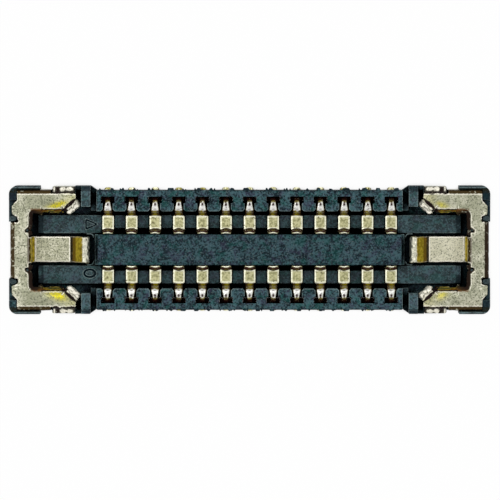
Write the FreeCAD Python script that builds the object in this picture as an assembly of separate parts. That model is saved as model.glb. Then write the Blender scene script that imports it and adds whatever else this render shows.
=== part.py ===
import FreeCAD, Part
import math
import os

# Receptacle of a fine-pitch board-to-board connector for flexible circuits.
# A moulded housing holds two rows of bent contacts, and a folded metal guard caps each end.
# The frame is in millimetres: X runs along the rows, Y across them, Z up from the circuit board.
# The origin is the middle of the footprint, on the board.

# Contact rows
contact_pitch = 0.35
contacts_per_row = 13

# Contact, one strip of sheet bent along a route
contact_stock = 0.06
contact_width = 0.115
contact_seat_width = 0.178
contact_barb_width = 0.195
contact_barb_height = 0.15
contact_crown_span = 0.16
contact_spring_lean = 0.045
contact_foot_setback = 0.05
contact_point_proud = 0.015
contact_point_height = 0.15
contact_lip_length = 0.055
contact_tail_reach = 0.035

# Housing, across the rows
island_width = 0.45
groove_width = 0.349
side_wall_thickness = 0.31
side_wall_skin = 0.094
end_block_step = 0.064
rail_width = 0.268
rail_inset = 0.015
trench_width = 0.09
tongue_side_room = 0.05

# Housing, along the rows
island_beyond_row = 0.15
island_foot_length = 0.045
side_wall_beyond_row = 0.165
wall_gap = 0.092
pillar_length = 0.135
pillar_depth = 0.305
pillar_chamfer = 0.06
tip_gap = 0.078
tip_gap_skin = 0.064
rail_end_gap = 0.12
lip_length = 0.46
end_corner_radius = 0.12
cavity_corner_cut = 0.05

# Housing, heights of one level above another
housing_standoff = 0.03
base_thickness = 0.06
rail_height = 0.10
contact_pocket_depth = 0.03
island_height = 0.38
island_foot_height = 0.15
side_wall_height = 0.41
crown_below_wall = 0.03
end_block_height = 0.43
pillar_height = 0.46
corner_post_height = 0.465
wall_gap_floor = 0.06
tip_shelf_height = 0.33
island_edge_break = 0.012

# End guard, folded from one sheet
guard_stock = 0.06
tongue_bend_radius = 0.045
guard_length = 0.946
guard_arm_width = 0.229
guard_web_width = 0.209
guard_side_setback = 0.114
guard_end_setback = 0.08
guard_inner_corner_radius = 0.09
guard_corner_cut = 0.10
guard_ear_length = 0.13
guard_ear_reach = 0.036
guard_tip_chamfer_length = 0.18
guard_tip_chamfer_width = 0.16
side_flange_length = 0.50
side_flange_drop = 0.40
end_flange_width = 0.83
end_relief_width = 0.11
end_relief_depth = 0.05
end_relief_slant = 0.03
tongue_root_margin = 0.065
tongue_relief_width = 0.09
tongue_relief_depth = 0.06

# Solder leg beside each arm
leg_width = 0.325
leg_setback = 0.02
leg_inset = 0.008
leg_step_down = 0.065
leg_step_length = 0.03
leg_gap = 0.025

# Latch flange that rolls over the inside of each arm
latch_length = 0.33
latch_fold_radius = 0.12
latch_reach = 0.045
latch_drop = 0.27
latch_ridge_radius = 0.05
latch_ridge_proud = 0.014
latch_ridge_length = 0.20
latch_ridge_setback = 0.01
latch_ridge_height = 0.07

# Lug at the chamfered tip of each arm
lug_width = 0.225
lug_step_out = 0.035
lug_step_down = 0.07
lug_shelf = 0.05
lug_drop = 0.13

# Tongue of the guard, which carries the supply current
tongue_width = 0.385
tongue_pad_length = 0.614
tongue_slope_length = 0.17
tongue_crest_length = 0.07
tongue_rise = 0.27
tongue_tip_drop = 0.10

# Fits
fit_clearance = 0.005
island_clearance = 0.006
spring_slot_clearance = 0.018
leg_slot_room = 0.03
slot_flare = 0.028

# Places along the rows
row_half_span = contact_pitch * (contacts_per_row - 1) / 2
island_end = row_half_span + island_beyond_row
island_foot_end = island_end + island_foot_length
side_wall_end = row_half_span + side_wall_beyond_row
pillar_start = side_wall_end + wall_gap
pillar_end = pillar_start + pillar_length
guard_tip = pillar_end + tip_gap
guard_end = guard_tip + guard_length
guard_fold_end = guard_end - guard_ear_reach
housing_end = guard_fold_end + guard_end_setback
web_inside = guard_fold_end - guard_web_width
leg_start = guard_tip + leg_setback
leg_end = leg_start + leg_width
flange_start = leg_end + leg_gap
flange_end = flange_start + side_flange_length
lip_start = housing_end - lip_length
chamfer_end = guard_tip + guard_tip_chamfer_length
latch_end = chamfer_end + latch_length

# Places across the rows
island_side = island_width / 2
groove_wall = island_side + groove_width
wall_outside = groove_wall + side_wall_thickness
slot_outside = wall_outside - side_wall_skin
block_outside = wall_outside + end_block_step
rail_inside = island_side + rail_inset
rail_outside = rail_inside + rail_width
pillar_inside = block_outside - pillar_depth
guard_outside = block_outside - guard_side_setback
guard_inside = guard_outside - guard_arm_width
flange_face = guard_outside + guard_stock
leg_line = block_outside - leg_inset - guard_stock / 2
latch_line = guard_inside - latch_reach + guard_stock / 2
latch_fold = latch_line + latch_fold_radius
flange_half = end_flange_width / 2
ear_inside = flange_half + end_relief_width
tongue_half = tongue_width / 2

# Heights above the board
base_top = housing_standoff + base_thickness
rail_top = base_top + rail_height
pocket_floor = rail_top - contact_pocket_depth
island_top = base_top + island_height
side_wall_top = base_top + side_wall_height
block_top = base_top + end_block_height
pillar_top = base_top + pillar_height
post_top = base_top + corner_post_height
guard_mid = block_top + guard_stock / 2
guard_top = block_top + guard_stock
leg_shelf = guard_mid - leg_step_down
lug_level = guard_mid - lug_step_down

# The middle of the tongue's sheet where it drops from the web
tongue_line = web_inside + guard_stock / 2 - tongue_bend_radius
end_wall_inside = tongue_line + tongue_bend_radius

# The middle of a contact's sheet along its route
leg_row = slot_outside - fit_clearance - contact_stock / 2
crown_line = side_wall_top - crown_below_wall - contact_stock / 2
seat_line = pocket_floor + contact_stock / 2
tip_line = island_side + island_clearance + contact_stock / 2
spring_top = leg_row - contact_crown_span
spring_foot = spring_top - contact_spring_lean
seat_end = spring_foot - contact_foot_setback
tail_end = wall_outside + contact_tail_reach

upright = FreeCAD.Vector(0, 0, 1)
origin = FreeCAD.Vector(0, 0, 0)


def box(x_low, x_high, y_low, y_high, z_low, z_high):
    corner = FreeCAD.Vector(x_low, y_low, z_low)
    return Part.makeBox(x_high - x_low, y_high - y_low, z_high - z_low, corner)


def with_mirror_ends(shape):
    """The shape and its mirror image at the other end of the rows."""
    return [shape, shape.mirror(origin, FreeCAD.Vector(1, 0, 0))]


def with_mirror_rows(shape):
    """The shape and its mirror image at the other row."""
    return [shape, shape.mirror(origin, FreeCAD.Vector(0, 1, 0))]


def at_four_corners(shape):
    return [image for half in with_mirror_ends(shape) for image in with_mirror_rows(half)]


def offset_chain(corners, offset, closed=False):
    """Lines and tangent arcs along a route of (u, v, bend radius), moved sideways by the offset.

    A positive offset is to the left of the way the route runs. Each bend keeps its centre, so the
    radius grows on one side of the sheet and shrinks on the other, down to a sharp corner.
    """
    points = [corner[:2] for corner in corners]
    count = len(points)
    ways = []
    for i in range(count if closed else count - 1):
        a = points[i]
        b = points[(i + 1) % count]
        length = math.dist(a, b)
        ways.append(((b[0] - a[0]) / length, (b[1] - a[1]) / length))

    def beside(point, way, along=0.0):
        u = point[0] + way[0] * along - way[1] * offset
        v = point[1] + way[1] * along + way[0] * offset
        return (u, v)

    chain = [] if closed else [[beside(points[0], ways[0])]]
    for i in range(0 if closed else 1, count if closed else count - 1):
        before = ways[i - 1]
        after = ways[i]
        cross = before[0] * after[1] - before[1] * after[0]
        turn = math.atan2(cross, before[0] * after[0] + before[1] * after[1])
        side = math.copysign(1.0, turn)
        radius = corners[i][2]
        if radius * abs(turn) == 0 or abs(radius - side * offset) < 1e-6:
            chain.append([beside(points[i], before, -math.tan(turn / 2) * offset)])
            continue
        tangent = radius * math.tan(abs(turn) / 2)
        start = (points[i][0] - before[0] * tangent, points[i][1] - before[1] * tangent)
        centre = (start[0] - before[1] * side * radius, start[1] + before[0] * side * radius)
        normal = (before[1] + after[1], -before[0] - after[0])
        reach = (side * radius - offset) / math.hypot(*normal)
        middle = (centre[0] + normal[0] * reach, centre[1] + normal[1] * reach)
        chain.append([beside(points[i], before, -tangent), middle, beside(points[i], after, tangent)])
    if not closed:
        chain.append([beside(points[-1], ways[-1])])
    return chain


def loop_edges(chain, place):
    """The closed loop of edges through a chain of points and arcs, put in space by the place function."""
    placed = [[place(*point) for point in item] for item in chain]
    edges = []
    for item, following in zip(placed, placed[1:] + placed[:1]):
        if len(item) == 3:
            edges.append(Part.Arc(*item).toShape())
        if item[-1].distanceToPoint(following[0]) > 1e-7:
            edges.append(Part.LineSegment(item[-1], following[0]).toShape())
    return edges


def prism(corners, z_low, z_high):
    """An upright solid on a plan outline of (x, y, corner radius)."""
    chain = offset_chain(corners, 0.0, closed=True)
    edges = loop_edges(chain, lambda x, y: FreeCAD.Vector(x, y, z_low))
    return Part.Face(Part.Wire(edges)).extrude(upright * (z_high - z_low))


def mirrored_outline(corners):
    """A plan outline symmetric about both axes, from its corners in the first quadrant, end first."""
    rear = corners + [(-x, y, r) for x, y, r in reversed(corners)]
    return rear + [(-x, -y, r) for x, y, r in rear]


def end_outline(corners):
    """A plan outline symmetric about the X axis, from its corners on the rear side."""
    return corners + [(x, -y, r) for x, y, r in reversed(corners)]


def bent_strip(route, stock, place, width):
    """Sheet bent along a route of (u, v, bend radius), centred on it, as wide as the width vector."""
    left = offset_chain(route, stock / 2)
    right = [item[::-1] for item in reversed(offset_chain(route, -stock / 2))]
    face = Part.Face(Part.Wire(loop_edges(left + right, place)))
    face.translate(width * -0.5)
    return face.extrude(width)


def strip_across(route, stock, x_low, x_high):
    """A strip bent in the plane across the rows, from x_low to x_high."""
    middle = (x_low + x_high) / 2
    width = FreeCAD.Vector(x_high - x_low, 0, 0)
    return bent_strip(route, stock, lambda y, z: FreeCAD.Vector(middle, y, z), width)


def strip_along(route, stock, width):
    """A strip bent in the plane along the rows, centred on the X axis."""
    return bent_strip(route, stock, lambda x, z: FreeCAD.Vector(x, 0, z), FreeCAD.Vector(0, width, 0))


def make_contact():
    """One contact of the rear row, at the middle of the row.

    From its tail on the board the strip rises in the slot of the side wall and turns over a crown.
    It comes down as a leaning spring, crosses the floor of the groove and rises beside the island
    to the point that touches the plug.
    """
    tight = contact_stock / 2
    point = seat_line + contact_point_height
    route = [
        (tail_end, contact_stock / 2, 0),
        (leg_row, contact_stock / 2, 0),
        (leg_row, crown_line, tight),
        (spring_top, crown_line, tight),
        (spring_foot, seat_line, 0),
        (tip_line, seat_line, tight),
        (tip_line + contact_point_proud, point, 0),
        (tip_line, point + contact_lip_length, 0),
    ]
    spring = strip_across(route, contact_stock, -contact_width / 2, contact_width / 2)
    half = contact_seat_width / 2
    seat = strip_across(route, contact_stock, -half, half)
    seat = seat.common(box(-half, half, 0, seat_end, 0, guard_top))
    half = contact_barb_width / 2
    top = base_top + contact_barb_height
    barb = box(-half, half, leg_row - tight, leg_row + tight, base_top, top)
    return spring.fuse([seat, barb]).removeSplitter()


def guard_plate():
    """The flat top of the right guard: a web across the end, and two arms with chamfered tips."""
    corners = [
        (web_inside, guard_inside, guard_inner_corner_radius),
        (latch_end, guard_inside, 0),
        (latch_end, latch_fold, 0),
        (chamfer_end, latch_fold, 0),
        (chamfer_end, guard_inside, 0),
        (guard_tip, guard_inside + guard_tip_chamfer_width, 0),
        (guard_tip, guard_outside, 0),
        (flange_end, guard_outside, 0),
        (flange_end, guard_outside - guard_corner_cut, 0),
        (guard_end, ear_inside + guard_ear_length, 0),
        (guard_end, ear_inside, 0),
        (guard_fold_end - end_relief_depth, ear_inside - end_relief_slant, 0),
        (guard_fold_end - end_relief_depth, flange_half, 0),
        (guard_fold_end, flange_half, 0),
    ]
    relief = tongue_half + tongue_root_margin
    inside = [
        (web_inside, relief, 0),
        (web_inside + tongue_relief_depth, relief, 0),
        (web_inside + tongue_relief_depth, relief + tongue_relief_width / 2, 0),
        (web_inside, relief + tongue_relief_width, 0),
    ]
    return prism(end_outline(inside + corners), block_top, guard_top)


def side_flange():
    """The flange folded down outside the rear arm."""
    fold = guard_outside + guard_stock / 2
    route = [
        (guard_outside - guard_stock, guard_mid, 0),
        (fold, guard_mid, guard_stock / 2),
        (fold, guard_top - side_flange_drop, 0),
    ]
    return strip_across(route, guard_stock, flange_start, flange_end)


def solder_leg():
    """The leg steps down beside the rear arm, runs out and drops to the board."""
    route = [
        (guard_outside - guard_stock, guard_mid, 0),
        (guard_outside, guard_mid, 0),
        (guard_outside + leg_step_length, leg_shelf, 0),
        (leg_line, leg_shelf, guard_stock / 2),
        (leg_line, 0, 0),
    ]
    return strip_across(route, guard_stock, leg_start, leg_end)


def latch_flange():
    """The flange that rolls over inside the rear arm, with a ridge that snaps behind the plug."""
    bottom = guard_top - latch_drop
    route = [
        (latch_fold + guard_stock, guard_mid, 0),
        (latch_line, guard_mid, latch_fold_radius),
        (latch_line, bottom, 0),
    ]
    flange = strip_across(route, guard_stock, chamfer_end, latch_end)
    face = latch_line - guard_stock / 2
    ridge_start = chamfer_end + latch_ridge_setback
    ridge_end = ridge_start + latch_ridge_length
    ridge_axis = face - latch_ridge_proud + latch_ridge_radius
    foot = FreeCAD.Vector(ridge_start, ridge_axis, bottom + latch_ridge_height)
    ridge = Part.makeCylinder(latch_ridge_radius, latch_ridge_length, foot, FreeCAD.Vector(1, 0, 0))
    proud = box(ridge_start, ridge_end, face - latch_ridge_radius, latch_line, bottom, guard_top)
    return flange.fuse(ridge.common(proud))


def tip_lug():
    """The lug at the chamfered tip: it steps down towards the groove and then turns down into it."""
    run = math.hypot(guard_tip_chamfer_length, guard_tip_chamfer_width)
    inward = FreeCAD.Vector(-guard_tip_chamfer_width / run, -guard_tip_chamfer_length / run, 0)
    along = FreeCAD.Vector(inward.y, -inward.x, 0)
    middle = FreeCAD.Vector(
        guard_tip + guard_tip_chamfer_length / 2,
        guard_inside + guard_tip_chamfer_width / 2,
        0,
    )
    shelf_end = lug_step_out + lug_shelf
    route = [
        (-guard_stock, guard_mid, 0),
        (0, guard_mid, 0),
        (lug_step_out, lug_level, 0),
        (shelf_end, lug_level, guard_stock / 2),
        (shelf_end, lug_level - lug_drop, 0),
    ]
    place = lambda u, z: middle + inward * u + upright * z
    return bent_strip(route, guard_stock, place, along * lug_width)


def end_flange():
    """The flange folded down over the end of the housing, to the board."""
    fold = guard_fold_end + guard_stock / 2
    route = [
        (guard_fold_end - guard_stock, guard_mid, 0),
        (fold, guard_mid, guard_stock / 2),
        (fold, 0, 0),
    ]
    return strip_along(route, guard_stock, end_flange_width)


def supply_tongue():
    """The tongue drops from the web to the floor, runs inwards and rises to a crest near the island."""
    floor = base_top + guard_stock / 2
    crest = floor + tongue_rise
    foot = tongue_line - tongue_pad_length
    crest_start = foot - tongue_slope_length
    tip = crest_start - tongue_crest_length
    route = [
        (web_inside + 2 * guard_stock, guard_mid, 0),
        (tongue_line, guard_mid, tongue_bend_radius),
        (tongue_line, floor, tongue_bend_radius),
        (foot, floor, tongue_bend_radius),
        (crest_start, crest, tongue_bend_radius),
        (tip, crest, tongue_bend_radius),
        (tip, crest - tongue_tip_drop, 0),
    ]
    return strip_along(route, guard_stock, tongue_width)


def make_guard():
    folds = [end_flange(), supply_tongue()]
    for strip in (side_flange(), solder_leg(), latch_flange(), tip_lug()):
        folds += with_mirror_rows(strip)
    return guard_plate().fuse(folds).removeSplitter()


def housing_blank():
    """The outside of the housing, with upright recesses for the flanges and legs of the guards."""
    flange_gap = flange_half + fit_clearance
    leg_back = leg_line - guard_stock / 2
    quadrant = [
        (guard_fold_end, flange_gap, 0),
        (housing_end, flange_gap, 0),
        (housing_end, block_outside, end_corner_radius),
        (lip_start, block_outside, 0),
        (lip_start, guard_outside, 0),
        (flange_start - fit_clearance, guard_outside, 0),
        (flange_start - fit_clearance, flange_face, 0),
        (leg_end + fit_clearance, flange_face, 0),
        (leg_end + fit_clearance, leg_back, 0),
        (leg_start - fit_clearance, leg_back, 0),
        (leg_start - fit_clearance, block_outside, 0),
        (pillar_start, block_outside, 0),
        (side_wall_end, wall_outside, 0),
    ]
    return prism(mirrored_outline(quadrant), housing_standoff, post_top)


def end_block_tops():
    """What comes off the tops of the end blocks: the seat of the guard and the ledge of its legs."""
    side = flange_face + fit_clearance
    corner = guard_outside - guard_corner_cut + fit_clearance
    ledge = leg_shelf - guard_stock / 2
    slot_floor = guard_top - side_flange_drop - fit_clearance
    seat_end = flange_end + fit_clearance
    seat = box(guard_tip, seat_end, -side, side, block_top, post_top)
    corner_seat = box(flange_end, housing_end, -corner, corner, block_top, post_top)
    slot = box(flange_start, seat_end, guard_outside, side, slot_floor, post_top)
    leg_room = box(guard_tip, flange_start, guard_outside - guard_stock, block_outside, ledge, post_top)
    ends = with_mirror_ends(seat) + with_mirror_ends(corner_seat)
    return ends + at_four_corners(slot) + at_four_corners(leg_room)


def cavity():
    """The hollow that takes the plug, with bays for the latch flanges and gaps beside the pillars."""
    skin = block_outside - tip_gap_skin
    side = guard_inside + fit_clearance
    quadrant = [
        (end_wall_inside, side - cavity_corner_cut, 0),
        (end_wall_inside - cavity_corner_cut, side, 0),
        (latch_end + fit_clearance, side, 0),
        (latch_end + fit_clearance, latch_fold, 0),
        (chamfer_end - guard_tip_chamfer_length / 2, latch_fold, 0),
        (guard_tip, guard_inside + guard_tip_chamfer_width + guard_stock, 0),
        (guard_tip, skin, 0),
        (pillar_end, skin, 0),
        (pillar_end, pillar_inside, 0),
        (pillar_start, pillar_inside, 0),
        (pillar_start, groove_wall, 0),
    ]
    return prism(mirrored_outline(quadrant), base_top, post_top)


def middle_tops():
    """What comes off above the side walls, the pillars, the gaps and the shelves beside them."""
    wall = box(-pillar_start, pillar_start, -block_outside, block_outside, side_wall_top, post_top)
    pillar = box(pillar_start, pillar_end, pillar_inside, block_outside, pillar_top, post_top)
    shelf = box(pillar_end, guard_tip, pillar_inside, block_outside, base_top + tip_shelf_height, post_top)
    gap_floor = base_top + wall_gap_floor
    gap = box(side_wall_end, pillar_start, groove_wall, block_outside, gap_floor, post_top)
    pieces = [wall]
    for shape in (pillar, shelf, gap, pillar_edge()):
        pieces += at_four_corners(shape)
    return pieces


def pillar_edge():
    """The wedge that chamfers the outer top edge of a pillar."""
    low = pillar_top - pillar_chamfer
    inside = block_outside - pillar_chamfer
    corners = [(inside, pillar_top), (block_outside, pillar_top), (block_outside, low)]
    points = [FreeCAD.Vector(pillar_start, y, z) for y, z in corners]
    face = Part.Face(Part.makePolygon(points + points[:1]))
    return face.extrude(FreeCAD.Vector(pillar_length, 0, 0))


def island():
    """The middle island, with a broken top edge and a low foot at each end."""
    block = box(-island_end, island_end, -island_side, island_side, base_top, island_top)
    rim = [e for e in block.Edges if all(abs(v.Z - island_top) < 1e-6 for v in e.Vertexes)]
    block = block.makeChamfer(island_edge_break, rim)
    foot_top = base_top + island_foot_height
    foot = box(-island_foot_end, island_foot_end, -island_side, island_side, base_top, foot_top)
    return block.fuse(foot)


def rail():
    """The raised floor of the rear groove, with a trench beside the island and a pocket for each contact."""
    rail_end = tongue_line - rail_end_gap
    body = box(-rail_end, rail_end, rail_inside, rail_outside, base_top, rail_top)
    half = contact_seat_width / 2 + fit_clearance
    trench_end = row_half_span + half
    cutters = [box(-trench_end, trench_end, island_side, island_side + trench_width, base_top, rail_top)]
    for x in contact_places():
        cutters.append(box(x - half, x + half, rail_inside, rail_outside, pocket_floor, rail_top))
    return body.cut(cutters)


def wall_slots():
    """The slots in the rear wall, narrow for a spring and wide for its leg, and the step over the tails."""
    tail_room = contact_stock + fit_clearance
    leg_back = leg_row - contact_stock / 2
    room_inside = leg_back - leg_slot_room
    leg_inside = leg_back - fit_clearance
    spring_half = contact_width / 2 + spring_slot_clearance
    leg_half = contact_barb_width / 2 + fit_clearance
    flare_half = spring_half + slot_flare
    cutters = [box(-side_wall_end, side_wall_end, leg_inside, wall_outside, housing_standoff, tail_room)]
    for x in contact_places():
        corners = [
            (x - flare_half, groove_wall, 0),
            (x - spring_half, groove_wall + slot_flare, 0),
            (x - spring_half, room_inside, 0),
            (x - leg_half, room_inside, 0),
            (x - leg_half, slot_outside, 0),
            (x + leg_half, slot_outside, 0),
            (x + leg_half, room_inside, 0),
            (x + spring_half, room_inside, 0),
            (x + spring_half, groove_wall + slot_flare, 0),
            (x + flare_half, groove_wall, 0),
        ]
        cutters.append(prism(corners, base_top, side_wall_top))
        cutters.append(box(x - leg_half, x + leg_half, leg_inside, slot_outside, tail_room, base_top))
    return cutters


def make_housing():
    housing = housing_blank().cut([cavity()] + end_block_tops() + middle_tops())
    housing = housing.fuse([island()] + with_mirror_rows(rail()))
    pocket_half = tongue_half + tongue_side_room
    pocket = box(island_foot_end, end_wall_inside, -pocket_half, pocket_half, base_top, post_top)
    cutters = with_mirror_ends(pocket)
    for slot in wall_slots():
        cutters += with_mirror_rows(slot)
    return housing.cut(cutters).removeSplitter()


def contact_places():
    return [i * contact_pitch - row_half_span for i in range(contacts_per_row)]


def placed(shape, x, turned):
    """A copy of the shape, turned half round for the other side, then moved along the rows."""
    copy = shape.copy()
    if turned:
        copy.rotate(origin, upright, 180)
    copy.translate(FreeCAD.Vector(x, 0, 0))
    return copy


def all_parts():
    guard = make_guard()
    contact = make_contact()
    parts = {
        "housing": make_housing(),
        "guard_right": placed(guard, 0, False),
        "guard_left": placed(guard, 0, True),
    }
    for number, x in enumerate(contact_places(), start=1):
        parts[f"contact_rear_{number:02d}"] = placed(contact, x, False)
        parts[f"contact_front_{number:02d}"] = placed(contact, x, True)
    return parts


os.makedirs("parts", exist_ok=True)
for name, shape in all_parts().items():
    shape.exportStep(f"parts/{name}.step")
    print(name, "solids", len(shape.Solids), "valid", shape.isValid(), "volume", round(shape.Volume, 5))
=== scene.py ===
import math
import bmesh
import bpy
import numpy as np
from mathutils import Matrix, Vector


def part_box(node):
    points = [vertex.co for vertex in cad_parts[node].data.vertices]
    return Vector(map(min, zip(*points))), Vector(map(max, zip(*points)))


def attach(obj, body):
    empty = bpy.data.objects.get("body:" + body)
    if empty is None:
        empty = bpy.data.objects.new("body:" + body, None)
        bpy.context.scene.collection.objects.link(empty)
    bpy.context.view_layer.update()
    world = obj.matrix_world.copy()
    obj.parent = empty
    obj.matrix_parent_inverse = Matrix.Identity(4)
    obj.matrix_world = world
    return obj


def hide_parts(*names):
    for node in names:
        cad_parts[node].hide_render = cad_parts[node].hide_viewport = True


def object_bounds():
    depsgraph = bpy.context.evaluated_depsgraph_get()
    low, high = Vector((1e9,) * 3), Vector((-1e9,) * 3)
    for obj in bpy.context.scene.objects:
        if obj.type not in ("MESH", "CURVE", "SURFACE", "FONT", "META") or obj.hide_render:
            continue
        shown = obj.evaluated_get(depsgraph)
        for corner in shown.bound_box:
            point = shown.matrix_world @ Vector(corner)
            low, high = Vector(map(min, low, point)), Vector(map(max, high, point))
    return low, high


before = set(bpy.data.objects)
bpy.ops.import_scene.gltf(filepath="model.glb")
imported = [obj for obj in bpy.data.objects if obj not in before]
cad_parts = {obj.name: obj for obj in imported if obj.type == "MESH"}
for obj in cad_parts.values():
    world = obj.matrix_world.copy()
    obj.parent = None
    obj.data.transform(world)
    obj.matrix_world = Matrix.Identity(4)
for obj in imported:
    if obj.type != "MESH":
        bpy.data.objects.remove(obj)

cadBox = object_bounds()
mm = 0.001
rng = np.random.default_rng(35)

# the camera looks almost straight down, tipped a little over the rear row as in the photograph
cameraSet = {
    "pixels": 500,
    "pitchPixels": 23.65,
    "pitch": 0.35 * mm,
    "centrePixel": 249.6,
    "aimHeight": 0.50 * mm,
    "distance": 100 * mm,
    "sensor": 36.0,
    "tipDegrees": 1.9,
    # nearest and farthest distance seen, as shares of the distance
    "clip": (0.05, 100),
}

lightSet = {
    "world": 0.75,
    "ringStrength": 1.30,
    "zenithStrength": 0.85,
    "zenith": (0.80, 0.97),
    "keySize": 30 * mm,
    "keyHeight": 60 * mm,
    "keyLean": (-0.25, 0.30),
    "keyPower": 0.0060,
}

floorSet = {
    "size": 400 * mm,
    "color": (0.86, 0.86, 0.87),
    "glow": 0.975,
    "grain": 0.5 * mm,
    "drift": 1.03,
    "shadowReach": 0.12 * mm,
    "openness": (0.10, 0.75),
}

print("camera")


def linked(name, data):
    item = bpy.data.objects.new(name, data)
    bpy.context.scene.collection.objects.link(item)
    return item


def makeCamera(s):
    # the frame's pixels over the pixels of one pitch, times the pitch, is the width seen
    seen = s["pixels"] / s["pitchPixels"] * s["pitch"]
    data = bpy.data.cameras.new("camera")
    data.sensor_width = s["sensor"]
    data.lens = s["sensor"] * s["distance"] / seen
    data.clip_start, data.clip_end = (s["distance"] * share for share in s["clip"])
    cam = linked("camera", data)
    tip = math.radians(s["tipDegrees"])
    shift = (s["pixels"] / 2 - s["centrePixel"]) * seen / s["pixels"]
    height = s["aimHeight"] + math.cos(tip) * s["distance"]
    cam.location = (shift, math.sin(tip) * s["distance"], height)
    cam.rotation_euler = (-tip, 0, 0)
    bpy.context.scene.camera = cam


makeCamera(cameraSet)


class Sock:
    # one output socket of a node: an operator on it adds the Math node that does the sum
    def __init__(self, net, out):
        self.net = net
        self.out = out

    def calc(self, operation, *terms):
        return self.net.add("ShaderNodeMath", {"operation": operation}, dict(enumerate(terms)))

    def __add__(self, other):
        return self.calc("ADD", self, other)

    def __sub__(self, other):
        return self.calc("SUBTRACT", self, other)

    def __rsub__(self, other):
        return self.calc("SUBTRACT", other, self)

    def __mul__(self, other):
        return self.calc("MULTIPLY", self, other)

    def __abs__(self):
        return self.calc("ABSOLUTE", self)

    __radd__ = __add__
    __rmul__ = __mul__

    def over(self, low, high):
        # 0 below low and 1 above high, with a smooth rise between
        settings = {"interpolation_type": "SMOOTHSTEP"}
        values = {"Value": self, "From Min": low, "From Max": high}
        return self.net.add("ShaderNodeMapRange", settings, values)

    def under(self, low, high):
        return 1 - self.over(low, high)

    def between(self, low, high, soft):
        # 1 from low to high, falling to 0 over the soft distance outside each
        return self.over(low - soft, low) * self.under(high, high + soft)

    def largest(self, other):
        return self.calc("MAXIMUM", self, other)


class Net:
    # the node tree of one material or of the world
    def __init__(self, owner):
        owner.use_nodes = True
        self.tree = owner.node_tree
        self.tree.nodes.clear()

    def add(self, kind, settings=None, sockets=None, out=0):
        node = self.tree.nodes.new(kind)
        for key, value in (settings or {}).items():
            setattr(node, key, value)
        for key, value in (sockets or {}).items():
            if isinstance(value, Sock):
                self.tree.links.new(value.out, node.inputs[key])
            elif isinstance(value, tuple) and len(value) < len(node.inputs[key].default_value):
                node.inputs[key].default_value = (*value, 1)
            else:
                node.inputs[key].default_value = value
        return Sock(self, node.outputs[out]) if len(node.outputs) else None

    def mix(self, factor, a, b):
        return self.add("ShaderNodeMix", {"data_type": "RGBA"}, {0: factor, 6: a, 7: b}, 2)

    def blendShaders(self, factor, a, b):
        return self.add("ShaderNodeMixShader", None, {0: factor, 1: a, 2: b})

    def place(self):
        return self.add("ShaderNodeTexCoord", None, None, "Object")

    def split(self, vector):
        first = self.add("ShaderNodeSeparateXYZ", None, {0: vector}, "X")
        node = first.out.node
        return first, Sock(self, node.outputs["Y"]), Sock(self, node.outputs["Z"])

    def noise(self, vector, grain, detail=2.0, rough=0.5, distort=0.0):
        # grain is the size of one blotch
        values = {"Vector": vector, "Scale": 1 / grain, "Detail": detail}
        values.update({"Roughness": rough, "Distortion": distort})
        return self.add("ShaderNodeTexNoise", None, values)

    def attribute(self, name):
        return self.add("ShaderNodeAttribute", {"attribute_name": name}, None, "Fac")

    def cavity(self, reach):
        # how open the surface is within the reach, 1 in the open and 0 deep in a slot
        return self.add("ShaderNodeAmbientOcclusion", {"samples": 8}, {"Distance": reach}, "AO")

    def bump(self, height, depth, strength):
        values = {"Strength": strength, "Distance": depth, "Height": height}
        return self.add("ShaderNodeBump", None, values)

    def seenRays(self):
        # camera rays, mirrored rays and rays through glass
        camera = self.add("ShaderNodeLightPath", None, None, "Is Camera Ray")
        node = camera.out.node
        glossy = Sock(self, node.outputs["Is Glossy Ray"])
        through = Sock(self, node.outputs["Is Transmission Ray"])
        return camera, glossy, through

    def finish(self, shader, kind="ShaderNodeOutputMaterial"):
        self.add(kind, None, {"Surface": shader})


print("light and floor")


def makeWorld(s):
    world = bpy.data.worlds.new("studio")
    bpy.context.scene.world = world
    net = Net(world)
    camera, glossy, through = net.seenRays()
    up = net.split(net.add("ShaderNodeTexCoord", None, None, "Generated"))[2]
    # bright all round the horizon, calmer overhead, as under a ring lamp
    band = up.over(*s["zenith"]) * (s["zenithStrength"] - s["ringStrength"]) + s["ringStrength"]
    soft, mirror, white = (
        net.add("ShaderNodeBackground", None, {"Color": (1, 1, 1), "Strength": strength})
        for strength in (s["world"], band, 1.0)
    )
    lit = net.blendShaders(glossy, soft, mirror)
    net.finish(net.blendShaders(camera.largest(through), lit, white), "ShaderNodeOutputWorld")


def makeLamp(s):
    data = bpy.data.lights.new("key", "AREA")
    data.shape = "DISK"
    data.size = s["keySize"]
    data.energy = s["keyPower"]
    lamp = linked("key", data)
    lamp.location = [s["keyHeight"] * share for share in (*s["keyLean"], 1)]
    lamp.rotation_euler = lamp.location.to_track_quat("Z", "Y").to_euler()
    lamp.visible_camera = False


def makeFloor(s):
    half = s["size"] / 2
    low = cadBox[0][2]
    corners = [(-half, -half, low), (half, -half, low), (half, half, low), (-half, half, low)]
    mesh = bpy.data.meshes.new("floor")
    mesh.from_pydata(corners, [], [(0, 1, 2, 3)])
    linked("floor", mesh)
    mat = bpy.data.materials.new("paper")
    net = Net(mat)
    camera, glossy, through = net.seenRays()
    grain = net.noise(net.place(), s["grain"], 3)
    tone = net.mix(grain, s["color"], tuple(c * s["drift"] for c in s["color"]))
    matte = net.add("ShaderNodeBsdfDiffuse", None, {"Color": tone})
    glow = net.add("ShaderNodeEmission", None, {"Color": (1, 1, 1), "Strength": 1.0})
    seen = camera.largest(glossy).largest(through)
    openness = net.cavity(s["shadowReach"]).over(*s["openness"])
    net.finish(net.blendShaders(seen * openness * s["glow"], matte, glow))
    mesh.materials.append(mat)


makeWorld(lightSet)
makeLamp(lightSet)
makeFloor(floorSet)

print("materials")


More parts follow.
